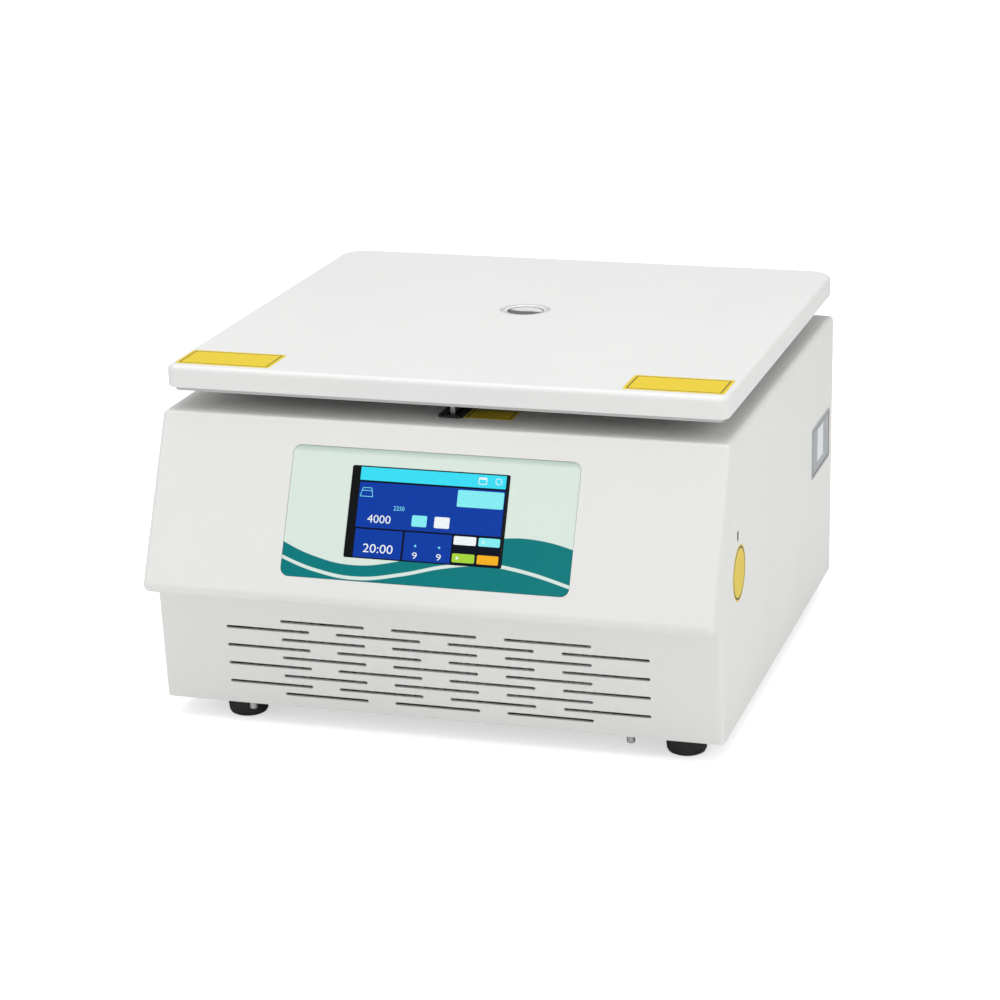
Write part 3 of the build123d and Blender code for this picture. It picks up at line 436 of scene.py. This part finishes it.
# %% Overlay print
PANEL_HALF = 106.0
PANEL_TOP = 18.75
SHADE_DEPTH = 4.5
CURVE_SPAN = 150.0
BAND_HALF = 1.25
INK_EDGE = 0.35
PALE_INK, DEEP_INK, BAND_INK = "#DAE8DF", "#02797C", "#DAE8E1"
WAVE = ((0.0, 88.8), (0.11, 97.5), (0.245, 102.1), (0.395, 97.8))
WAVE += ((0.58, 84.0), (0.77, 75.4), (0.88, 75.2), (1.0, 80.1))
BAND = ((0.0, 99.6), (0.13, 108.0), (0.27, 111.3), (0.42, 106.5))
BAND += ((0.57, 98.5), (0.70, 95.0), (0.80, 96.6), (1.0, 106.3))
overlay, tree, shader = new_finish("printed_polycarbonate", "#D5E2D9", Roughness=0.22)
shader.inputs["Specular IOR Level"].default_value = 0.15
place = add_node(tree, "ShaderNodeTexCoord").outputs["Object"]
from_top = add_node(tree, "ShaderNodeVectorMath", {"operation": "SUBTRACT", 1: FRONT_TOP}, {0: place})
settings = {"operation": "DOT_PRODUCT", 1: down_slope}
drop = add_node(tree, "ShaderNodeVectorMath", settings, {0: from_top.outputs["Vector"]}).outputs["Value"]
across = add_node(tree, "ShaderNodeSeparateXYZ", None, {"Vector": place}).outputs["X"]
settings = {"From Min": -PANEL_HALF * MM, "From Max": PANEL_HALF * MM}
across = add_node(tree, "ShaderNodeMapRange", settings, {"Value": across}).outputs["Result"]


def edge_line(points):
    """Drop of a printed edge in metres, as a smooth curve over the panel's width."""
    line = add_node(tree, "ShaderNodeFloatCurve", None, {"Value": across})
    curve = line.mapping.curves[0]
    curve.points[0].location = (points[0][0], points[0][1] / CURVE_SPAN)
    curve.points[1].location = (points[-1][0], points[-1][1] / CURVE_SPAN)
    for u, v in points[1:-1]:
        curve.points.new(u, v / CURVE_SPAN)
    line.mapping.update()
    scaled = {"operation": "MULTIPLY", 1: CURVE_SPAN * MM}
    return add_node(tree, "ShaderNodeMath", scaled, {0: line.outputs["Value"]}).outputs["Value"]


def soft_step(value, width_mm):
    """0 to 1 over a narrow width around zero, as an ink edge does."""
    settings = {"From Min": -width_mm * MM / 2, "From Max": width_mm * MM / 2}
    return add_node(tree, "ShaderNodeMapRange", settings, {"Value": value}).outputs["Result"]


below = add_node(tree, "ShaderNodeMath", {"operation": "SUBTRACT"}, {0: drop, 1: edge_line(WAVE)})
dark_ink = soft_step(below.outputs["Value"], INK_EDGE)
offset = add_node(tree, "ShaderNodeMath", {"operation": "SUBTRACT"}, {0: drop, 1: edge_line(BAND)})
near = add_node(tree, "ShaderNodeMath", {"operation": "ABSOLUTE"}, {0: offset.outputs["Value"]})
inside = {"operation": "SUBTRACT", 0: BAND_HALF * MM}
band = add_node(tree, "ShaderNodeMath", inside, {1: near.outputs["Value"]})
band_ink = soft_step(band.outputs["Value"], INK_EDGE)
settings = {"data_type": "RGBA", 6: linear(PALE_INK), 7: linear(DEEP_INK)}
ink = add_node(tree, "ShaderNodeMix", settings, {0: dark_ink})
settings = {"data_type": "RGBA", 7: linear(BAND_INK)}
ink = add_node(tree, "ShaderNodeMix", settings, {0: band_ink, 6: ink.outputs[2]})
settings = {"From Min": (PANEL_TOP + SHADE_DEPTH) * MM, "From Max": PANEL_TOP * MM, "To Max": 0.6}
shade = add_node(tree, "ShaderNodeMapRange", settings, {"Value": drop}).outputs["Result"]
settings = {"data_type": "RGBA", 7: linear("#8FA899")}
ink = add_node(tree, "ShaderNodeMix", settings, {0: shade, 6: ink.outputs[2]})
tree.links.new(ink.outputs[2], shader.inputs["Base Color"])
dress(overlay, "display_overlay")
print("the wave runs from", WAVE[0][1], "to", WAVE[-1][1], "mm down the slope")

# %% [markdown]
# ## The lit display
# The display's glass is black at the rim and lit inside. Its picture is a set of flat tiles: a
# header, three dark blue fields and a few keys. Each tile is a square that is scaled, gets its
# corners rounded by a bevel of its corner points, and is laid on the glass a hair above the one below.

# %% Display glass
screen_glass, tree, shader = new_finish("cover_glass", "#06080B", Roughness=0.12)
shader.inputs["Specular IOR Level"].default_value = 0.2
settings = {"Scale": 70.0, "Detail": 3.0}
smears = add_node(tree, "ShaderNodeTexNoise", settings, {"Vector": object_space(tree)})
vary_roughness(tree, shader, smears.outputs["Fac"], 0.05, 0.14)
dress(screen_glass, "touch_display")
print("glass:", screen_glass.name)


# %% Lit inks
def lit(name, colour, glow):
    """Display colour that gives its own light, with the faint cell pattern of the panel."""
    finish, tree, shader = new_finish(name, "#05070A", Roughness=0.2)
    shader.inputs["Specular IOR Level"].default_value = 0.08
    settings = {"Scale": 1400.0, "Detail": 0.0}
    cells = add_node(tree, "ShaderNodeTexNoise", settings, {"Vector": object_space(tree)})
    settings = {"From Min": 0.3, "From Max": 0.7, "To Min": glow * 0.92, "To Max": glow * 1.05}
    light = add_node(tree, "ShaderNodeMapRange", settings, {"Value": cells.outputs["Fac"]})
    tree.links.new(light.outputs["Result"], shader.inputs["Emission Strength"])
    shader.inputs["Emission Color"].default_value = linear(colour)
    return finish


SCREEN_INKS = {
    "rim": lit("lit_dark", "#04081C", 1.0),
    "header": lit("lit_cyan", "#3BDFF6", 1.0),
    "field": lit("lit_blue", "#0A3CA4", 1.0),
    "pale": lit("lit_pale_cyan", "#86EEF4", 1.0),
    "white": lit("lit_white", "#F1F6F8", 1.0),
    "lime": lit("lit_lime", "#A6D63C", 1.0),
    "amber": lit("lit_amber", "#F7B21C", 1.0),
}
print(len(SCREEN_INKS), "lit inks")

# %% Shapes that lie on the glass
GLASS_TOP = -0.2
LAYER_STEP = 0.03
picture = bmesh.new()
ink_order = list(SCREEN_INKS)


def lay(shape, ink, layer):
    """Lay a flat shape, drawn in millimetres on the slope, on the glass in one ink."""
    for face in shape.faces:
        face.material_index = ink_order.index(ink)
    lift = Matrix.Translation((0, 0, (GLASS_TOP + LAYER_STEP * (layer + 1)) * MM))
    bmesh.ops.transform(shape, matrix=front_matrix @ lift @ Matrix.Scale(MM, 4), verts=shape.verts)
    sheet = bpy.data.meshes.new("sheet")
    shape.to_mesh(sheet)
    shape.free()
    picture.from_mesh(sheet)
    bpy.data.meshes.remove(sheet)


def tile(left, right, top, bottom, corner, ink, layer):
    """Rectangle with rounded corners, given by its sides across and down the slope."""
    shape = bmesh.new()
    bmesh.ops.create_grid(shape, x_segments=1, y_segments=1, size=0.5)
    bmesh.ops.scale(shape, vec=(right - left, bottom - top, 1), verts=shape.verts)
    if corner:
        rounding = {"affect": "VERTICES", "segments": 4, "profile": 0.5, "material": -1}
        bmesh.ops.bevel(shape, geom=shape.verts[:], offset=corner, offset_type="OFFSET", **rounding)
    bmesh.ops.translate(shape, vec=((left + right) / 2, -(top + bottom) / 2, 0), verts=shape.verts)
    lay(shape, ink, layer)


print("glass lies", -GLASS_TOP, "mm under the slope")

# %% Header, fields and keys
tile(-54.0, 54.2, 31.4, 96.2, 0.0, "rim", 0)
tile(-54.0, 53.3, 31.6, 41.0, 0.4, "header", 1)
FIELDS = ((-53.8, 53.3, 42.4, 74.7), (-53.4, -18.2, 75.9, 96.0), (-16.7, 18.1, 75.9, 96.0))
for left, right, top, bottom in FIELDS:
    tile(left, right, top, bottom, 0.5, "field", 1)
KEYS = (
    (19.0, 52.8, 43.5, 55.5, "pale"),
    (-12.7, -1.6, 63.7, 71.7, "pale"),
    (3.9, 15.1, 63.7, 71.7, "white"),
    (19.5, 35.9, 76.2, 82.3, "white"),
    (37.7, 53.3, 76.3, 82.3, "pale"),
    (19.5, 35.9, 88.5, 94.8, "lime"),
    (37.7, 53.3, 88.5, 94.9, "amber"),
)
for left, right, top, bottom, ink in KEYS:
    tile(left, right, top, bottom, 0.9, ink, 2)
print(len(FIELDS), "fields and", len(KEYS), "keys")

# %% [markdown]
# The small signs are plain shapes too: a gear and a card in the header, two clock rings,
# arrows for faster and slower, and a rotor's outline. A ring is a disc with its middle inset and
# taken out, and the rotor's outline is laid from thin bars.


# %% Small signs
def ring_sign(x, drop, radius, line, ink, sides=24):
    """Circle or polygon drawn as a line of even width."""
    shape = bmesh.new()
    bmesh.ops.create_circle(shape, cap_ends=True, segments=sides, radius=radius)
    made = bmesh.ops.inset_region(shape, faces=shape.faces[:], thickness=line, use_even_offset=True)
    inner = [f for f in shape.faces if f not in made["faces"]]
    bmesh.ops.delete(shape, geom=inner, context="FACES")
    bmesh.ops.translate(shape, vec=(x, -drop, 0), verts=shape.verts)
    lay(shape, ink, 3)


def triangle(x, drop, size, turn, ink):
    """Solid triangle that points to the right before it is turned."""
    shape = bmesh.new()
    bmesh.ops.create_circle(shape, cap_ends=True, segments=3, radius=size)
    bmesh.ops.rotate(shape, matrix=Matrix.Rotation(math.radians(turn - 90), 3, "Z"), verts=shape.verts)
    bmesh.ops.translate(shape, vec=(x, -drop, 0), verts=shape.verts)
    lay(shape, ink, 3)


GEAR_X, GEAR_DROP = 47.9, 36.0
TEETH, TOOTH_RADIUS, TOOTH_HALF = 8, 2.2, 0.45
ring_sign(GEAR_X, GEAR_DROP, 1.9, 0.9, "white")
for index in range(TEETH):
    angle = math.tau * index / TEETH
    x, drop = GEAR_X + TOOTH_RADIUS * math.cos(angle), GEAR_DROP + TOOTH_RADIUS * math.sin(angle)
    tile(x - TOOTH_HALF, x + TOOTH_HALF, drop - TOOTH_HALF, drop + TOOTH_HALF, 0.1, "white", 3)
tile(33.1, 39.3, 33.7, 38.7, 0.7, "white", 2)
tile(33.6, 38.8, 35.2, 38.2, 0.4, "header", 3)
for drop in (59.0, 80.3):
    ring_sign(-51.0, drop, 1.5, 0.45, "pale")
triangle(23.2, 91.7, 1.5, 0, "white")
triangle(41.2, 79.3, 1.3, 0, "white")
triangle(-8.1, 85.4, 1.2, 90, "pale")
triangle(9.5, 85.4, 1.2, -90, "pale")
print("signs laid")

# %% Rotor outline
LINE = 0.4
SIGN_BARS = ((-52.8, -43.4, 52.6), (-51.0, -44.6, 46.4), (-51.6, -44.2, 48.4))
SIGN_HEIGHT, SIGN_MIDDLE = 6.2, 49.5
for left, right, drop in SIGN_BARS:
    tile(left, right, drop - LINE / 2, drop + LINE / 2, 0.0, "pale", 3)
for low_x, high_x in ((-52.8, -51.0), (-43.4, -44.6)):
    shape = bmesh.new()
    bmesh.ops.create_grid(shape, x_segments=1, y_segments=1, size=0.5)
    length = math.hypot(low_x - high_x, SIGN_HEIGHT)
    bmesh.ops.scale(shape, vec=(LINE, length, 1), verts=shape.verts)
    lean = Matrix.Rotation(math.atan2(low_x - high_x, SIGN_HEIGHT), 3, "Z")
    bmesh.ops.rotate(shape, matrix=lean, verts=shape.verts)
    bmesh.ops.translate(shape, vec=((low_x + high_x) / 2, -SIGN_MIDDLE, 0), verts=shape.verts)
    lay(shape, "pale", 3)
print("rotor outline laid")

# %% [markdown]
# Numbers come from a text object. Its outline becomes a mesh, is scaled to the height and width
# that the display shows, and joins the picture.


# %% Numbers
def number(text, left, right, top, base, ink):
    """Plain digits that fill a box on the slope."""
    letters = bpy.data.curves.new("digits", "FONT")
    letters.body = text
    letters.resolution_u = 4
    holder = bpy.data.objects.new("digits", letters)
    bpy.context.collection.objects.link(holder)
    flat = bpy.data.meshes.new_from_object(holder.evaluated_get(bpy.context.evaluated_depsgraph_get()))
    bpy.data.objects.remove(holder)
    shape = bmesh.new()
    shape.from_mesh(flat)
    xs = [v.co.x for v in shape.verts]
    ys = [v.co.y for v in shape.verts]
    fit = ((right - left) / (max(xs) - min(xs)), (base - top) / (max(ys) - min(ys)), 1)
    bmesh.ops.translate(shape, vec=(-min(xs), -min(ys), 0), verts=shape.verts)
    bmesh.ops.scale(shape, vec=fit, verts=shape.verts)
    bmesh.ops.translate(shape, vec=(left, -base, 0), verts=shape.verts)
    lay(shape, ink, 3)


number("4000", -45.6, -28.3, 65.4, 71.1, "white")
number("20:00", -46.5, -24.4, 86.2, 92.4, "white")
number("9", -9.8, -6.3, 89.9, 94.5, "white")
number("9", 7.9, 11.4, 89.9, 94.5, "white")
number("2250", -27.0, -18.9, 58.2, 61.3, "pale")
print("numbers laid")

# %% The picture as one piece
picture_mesh = bpy.data.meshes.new("screen_picture")
for name in ink_order:
    picture_mesh.materials.append(SCREEN_INKS[name])
picture.normal_update()
for face in picture.faces:
    if face.normal.dot(off_slope) < 0:
        face.normal_flip()
picture.to_mesh(picture_mesh)
picture.free()
screen_picture = bpy.data.objects.new("screen_picture", picture_mesh)
bpy.context.collection.objects.link(screen_picture)
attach(screen_picture, "cabinet")
print("picture faces:", len(picture_mesh.polygons))

# %% [markdown]
# ## Bare films and the plate
# Yellow vinyl films lie on the lid's front corners, on the right side and on the deck beside the
# lock, and a grey plate sits at the right rear. They carry no print here but a thin dark line
# inside the edge, drawn where the distance to the edge has one value.


# %% The film on the deck
FILM_X, FILM_Y = 27.3, -137.6
FILM_WIDE, FILM_DEEP, FILM_THICK = 35.4, 24.0, 0.15
FILM_RISE = 0.1
shape = bmesh.new()
bmesh.ops.create_cube(shape, size=1.0)
film_size = Vector((FILM_WIDE, FILM_DEEP, FILM_THICK)) * MM
bmesh.ops.scale(shape, vec=film_size, verts=shape.verts)
middle = Vector((FILM_X, FILM_Y, DECK_Z + FILM_RISE)) * MM
bmesh.ops.translate(shape, vec=middle, verts=shape.verts)
film_mesh = bpy.data.meshes.new("deck_film")
shape.to_mesh(film_mesh)
shape.free()
deck_film = bpy.data.objects.new("deck_film", film_mesh)
bpy.context.collection.objects.link(deck_film)
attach(deck_film, "cabinet")
print("deck film in millimetres:", FILM_WIDE, "by", FILM_DEEP)


# %% Yellow vinyl
def near_zero(tree, distance, width_mm):
    """1 where a distance in metres lies within a narrow line around zero."""
    size = add_node(tree, "ShaderNodeMath", {"operation": "ABSOLUTE"}, {0: distance})
    settings = {"From Min": width_mm * MM * 0.7, "From Max": width_mm * MM * 0.4}
    line = add_node(tree, "ShaderNodeMapRange", settings, {"Value": size.outputs["Value"]})
    return line.outputs["Result"]


def beyond(tree, value, middle_mm, half_mm):
    """How far a coordinate lies past half a width from a middle, in metres."""
    for operation, number in (("SUBTRACT", middle_mm), ("ABSOLUTE", 0), ("SUBTRACT", half_mm)):
        settings = {"operation": operation, 1: number * MM}
        value = add_node(tree, "ShaderNodeMath", settings, {0: value}).outputs["Value"]
    return value


def box_distance(tree, first, second):
    """Distance past the nearer side of a rectangle, as seen along one axis."""
    links = {0: first, 1: second}
    return add_node(tree, "ShaderNodeMath", {"operation": "MAXIMUM"}, links).outputs["Value"]


def blend_ink(tree, shader, mask, ground, line):
    """Mix an ink over a ground, which is a hex value or another socket."""
    made = add_node(tree, "ShaderNodeMix", {"data_type": "RGBA", 7: linear(line)}, {0: mask})
    if isinstance(ground, str):
        made.inputs[6].default_value = linear(ground)
    else:
        tree.links.new(ground, made.inputs[6])
    tree.links.new(made.outputs[2], shader.inputs["Base Color"])
    return made.outputs[2]


YELLOW, BROWN_LINE, BLACK_LINE = "#E8CC20", "#6B5A1B", "#3A3426"
LINE_INSET = 2.2
CORNER_X, CORNER_DEPTH = 166.75, 29.0
CORNER_HALF = (33.4, 16.7)
ROUND_PLACE = (210.0, FRONT_Y + 30.6, 128.0)
ROUND_LINE = 18.6


def vinyl(name):
    """Yellow vinyl film with a slight orange-peel gloss."""
    finish, tree, shader = new_finish(name, YELLOW, Roughness=0.4)
    shader.inputs["Specular IOR Level"].default_value = 0.2
    grain(tree, shader, 2.2, 0.02, 0.2)
    parts = add_node(tree, "ShaderNodeSeparateXYZ", None, {"Vector": object_space(tree)})
    return finish, tree, shader, parts


corner_film, tree, shader, parts = vinyl("yellow_vinyl_corners")
side = add_node(tree, "ShaderNodeMath", {"operation": "ABSOLUTE"}, {0: parts.outputs["X"]})
side = beyond(tree, side.outputs["Value"], CORNER_X, CORNER_HALF[0])
deep = beyond(tree, parts.outputs["Y"], FRONT_Y + CORNER_DEPTH, CORNER_HALF[1])
edge = box_distance(tree, side, deep)
blend_ink(tree, shader, near_zero(tree, edge, 1.0), YELLOW, BROWN_LINE)
dress(corner_film, "lid_films")
deck_vinyl, tree, shader, parts = vinyl("yellow_vinyl_deck")
side = beyond(tree, parts.outputs["X"], FILM_X, FILM_WIDE / 2 - LINE_INSET)
deep = beyond(tree, parts.outputs["Y"], FILM_Y, FILM_DEEP / 2 - LINE_INSET)
edge = box_distance(tree, side, deep)
blend_ink(tree, shader, near_zero(tree, edge, 1.0), YELLOW, BROWN_LINE)
film_mesh.materials.append(deck_vinyl)
round_film, tree, shader, parts = vinyl("yellow_vinyl_round")
centred = object_space(tree, [-v for v in ROUND_PLACE])
length = add_node(tree, "ShaderNodeVectorMath", {"operation": "LENGTH"}, {0: centred})
settings = {"operation": "SUBTRACT", 1: ROUND_LINE * MM}
edge = add_node(tree, "ShaderNodeMath", settings, {0: length.outputs["Value"]}).outputs["Value"]
blend_ink(tree, shader, near_zero(tree, edge, 1.4), YELLOW, BLACK_LINE)
dress(round_film, "side_film")
print("films:", corner_film.name, deck_vinyl.name, round_film.name)

# %% Grey plate
PLATE_Y, PLATE_Z = 164.765, 137.0
PLATE_LINE = (34.0, 18.0)
PALE_Y, PALE_Z = PLATE_Y - 2.0, PLATE_Z + 2.0
PALE_HALF = (12.0, 13.0)
plate, tree, shader = new_finish("printed_aluminium_plate", "#A9ADB0", Metallic=0.3, Roughness=0.45)
streaks = object_space(tree, scale=(1.0, 0.05, 1.0))
noise = add_node(tree, "ShaderNodeTexNoise", {"Scale": 1300.0, "Detail": 2.0}, {"Vector": streaks})
ramp = two_tone(tree, shader, noise.outputs["Fac"], "#A2A6AA", "#B3B7BA")
parts = add_node(tree, "ShaderNodeSeparateXYZ", None, {"Vector": object_space(tree)})
side = beyond(tree, parts.outputs["Y"], PLATE_Y, PLATE_LINE[0])
tall = beyond(tree, parts.outputs["Z"], PLATE_Z, PLATE_LINE[1])
edge = box_distance(tree, side, tall)
frame_line = blend_ink(tree, shader, near_zero(tree, edge, 1.2), ramp.outputs["Color"], "#6F7478")
side = beyond(tree, parts.outputs["Y"], PALE_Y, PALE_HALF[0])
tall = beyond(tree, parts.outputs["Z"], PALE_Z, PALE_HALF[1])
inner = box_distance(tree, side, tall)
settings = {"From Min": 0.3 * MM, "From Max": -0.3 * MM}
pale = add_node(tree, "ShaderNodeMapRange", settings, {"Value": inner}).outputs["Result"]
blend_ink(tree, shader, pale, frame_line, "#E9EBF2")
dress(plate, "plate_blank")
print("plate:", plate.name)

# %% [markdown]
# ## The floor's finish
# The floor is matt white paper. A glow that only the camera sees lifts it to the white of the
# backdrop, so no horizon shows, while the shade under the feet stays and no extra light is thrown
# up at the object.

# %% Floor finish
FLOOR_GLOW = 0.58
pale_floor, tree, shader = new_finish("pale_floor", "#F4F4F3", Roughness=0.9)
shader.inputs["Emission Color"].default_value = WHITE
seen = add_node(tree, "ShaderNodeLightPath").outputs["Is Camera Ray"]
glow = add_node(tree, "ShaderNodeMath", {"operation": "MULTIPLY", 1: FLOOR_GLOW}, {0: seen})
tree.links.new(glow.outputs["Value"], shader.inputs["Emission Strength"])
settings = {"Scale": 2.0, "Detail": 1.0}
noise = add_node(tree, "ShaderNodeTexNoise", settings, {"Vector": object_space(tree)})
two_tone(tree, shader, noise.outputs["Fac"], "#F2F2F1", "#F6F6F5")
floor.data.materials.append(pale_floor)
print("undressed nodes:", sorted(set(nodes) - dressed))

# %% [markdown]
# ## The end

# %% End
print("end of the scene")
